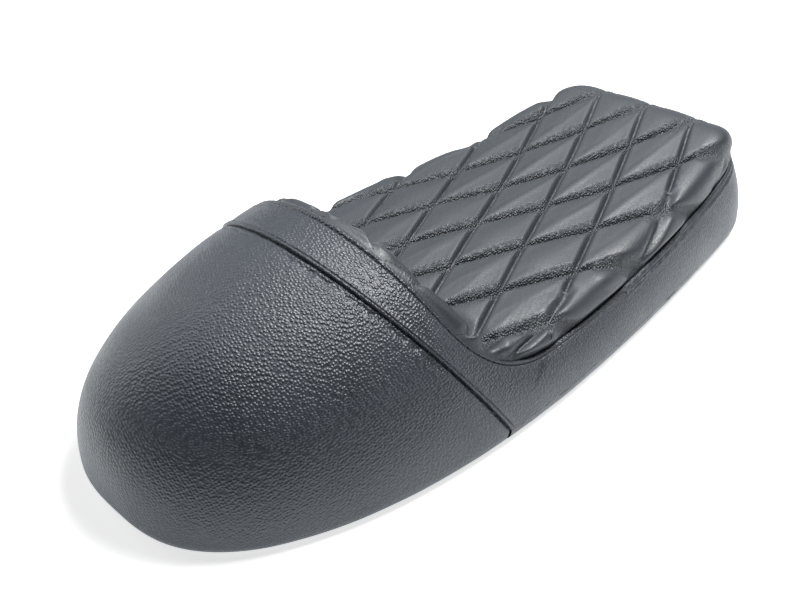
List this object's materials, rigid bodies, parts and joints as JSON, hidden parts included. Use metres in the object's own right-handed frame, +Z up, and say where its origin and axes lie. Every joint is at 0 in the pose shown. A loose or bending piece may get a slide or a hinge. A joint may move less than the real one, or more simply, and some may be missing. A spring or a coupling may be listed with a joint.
{
  "type": "cafe racer seat",
  "caption": "Cafe racer seat with a rounded rear hump, a diamond quilted top and a pan with fixing nuts under it.",
  "frame": {"origin": "middle of the footprint in plan, on the plane that the cover's lower edge rests on", "axes": "+X forward to the nose, +Y to the rider's left, +Z up"},
  "size_m": [0.6, 0.2754, 0.1461],
  "materials": {
    "hump_vinyl": "satin, pebble grain",
    "band_vinyl": "satin, pebble grain",
    "quilt_vinyl": "satin, stitched and stuffed",
    "seam_tape": "woven",
    "foam": "open cell foam",
    "pan_plastic": "fine texture",
    "strap_steel": "powder coat",
    "plated_steel": "zinc plated",
    "rivet_aluminium": "bare",
    "bumper_rubber": "matt"
  },
  "bodies": {
    "root": {"hump_cover": "hump_vinyl", "side_band": "band_vinyl", "quilted_panel": "quilt_vinyl", "rear_seam_tape": "seam_tape", "hump_foam": "foam", "seat_foam": "foam", "base_pan": "pan_plastic", "front_strap": "strap_steel", "rear_strap": "strap_steel", "weld_nuts": "plated_steel", "strap_rivets": "rivet_aluminium", "rubber_bumpers": "bumper_rubber", "bumper_washers": "plated_steel", "bumper_screws": "plated_steel"}
  },
  "joints": []
}
